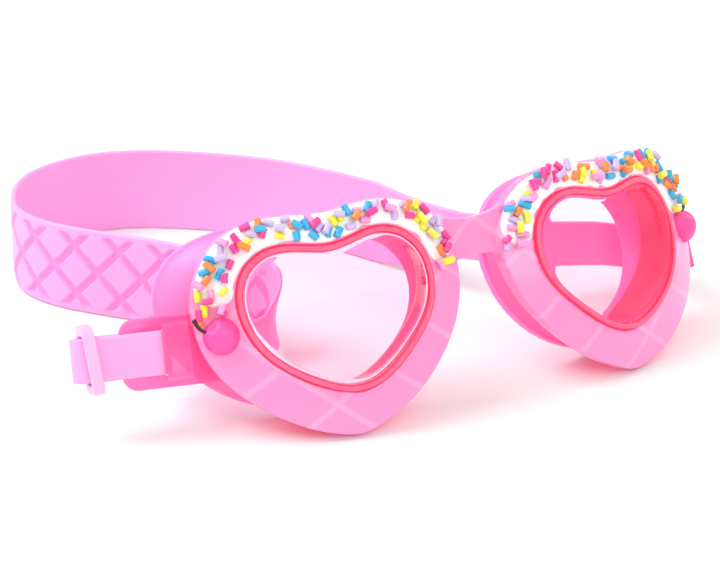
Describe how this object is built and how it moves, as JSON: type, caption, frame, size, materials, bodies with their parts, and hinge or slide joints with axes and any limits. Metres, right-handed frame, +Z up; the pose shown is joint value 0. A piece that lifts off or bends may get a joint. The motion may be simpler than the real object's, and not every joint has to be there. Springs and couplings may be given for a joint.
{
  "type": "swim goggles",
  "caption": "Swim goggles with heart-shaped lenses in a one-piece frame, soft eye cups, iced and sprinkled brow, and a wide moulded head strap held in side clips with sliding keepers.",
  "frame": {"origin": "point on the resting surface, midway between the two hearts and below the line through their centres", "axes": "+X to the viewer's right when the lenses are faced, +Y back to the strap, +Z up"},
  "size_m": [0.2007, 0.175, 0.0576],
  "materials": {
    "frame_pink": "glossy pearl",
    "icing_white": "glossy enamel",
    "cherry_pink": "satin",
    "stem_black": "satin",
    "cup_coral": "clear tinted",
    "lens_clear": "clear",
    "gasket_silicone": "soft satin",
    "clip_tint": "clear tinted",
    "keeper_pink": "glossy",
    "strap_silicone": "soft satin",
    "sprinkle_yellow": "satin",
    "sprinkle_orange": "satin",
    "sprinkle_blue": "satin",
    "sprinkle_hot_pink": "satin",
    "sprinkle_light_pink": "satin",
    "sprinkle_lavender": "satin"
  },
  "bodies": {
    "goggles": {"heart_frame": "frame_pink", "head_strap": "strap_silicone", "lens_cup_left": "cup_coral", "lens_cup_right": "cup_coral", "lens_left": "lens_clear", "lens_right": "lens_clear", "gasket_left": "gasket_silicone", "gasket_right": "gasket_silicone", "icing_left": "icing_white", "icing_right": "icing_white", "cherry_left": "cherry_pink", "cherry_right": "cherry_pink", "cherry_stem_left": "stem_black", "cherry_stem_right": "stem_black", "strap_clip_left": "clip_tint", "strap_clip_right": "clip_tint", "sprinkles_yellow": "sprinkle_yellow", "sprinkles_orange": "sprinkle_orange", "sprinkles_blue": "sprinkle_blue", "sprinkles_hot_pink": "sprinkle_hot_pink", "sprinkles_light_pink": "sprinkle_light_pink", "sprinkles_lavender": "sprinkle_lavender"},
    "keeper_left": {"strap_keeper_left": "keeper_pink"},
    "keeper_right": {"strap_keeper_right": "keeper_pink"}
  },
  "joints": [
    {"name": "keeper_left_slide", "type": "slide", "parent": "goggles", "child": "keeper_left", "axis": [-0.9759, 0.2181, 0], "range_m": [-0.004, 0.002]},
    {"name": "keeper_right_slide", "type": "slide", "parent": "goggles", "child": "keeper_right", "axis": [0.3918, 0.8763, -0.2802], "range_m": [-0.004, 0.002]}
  ]
}
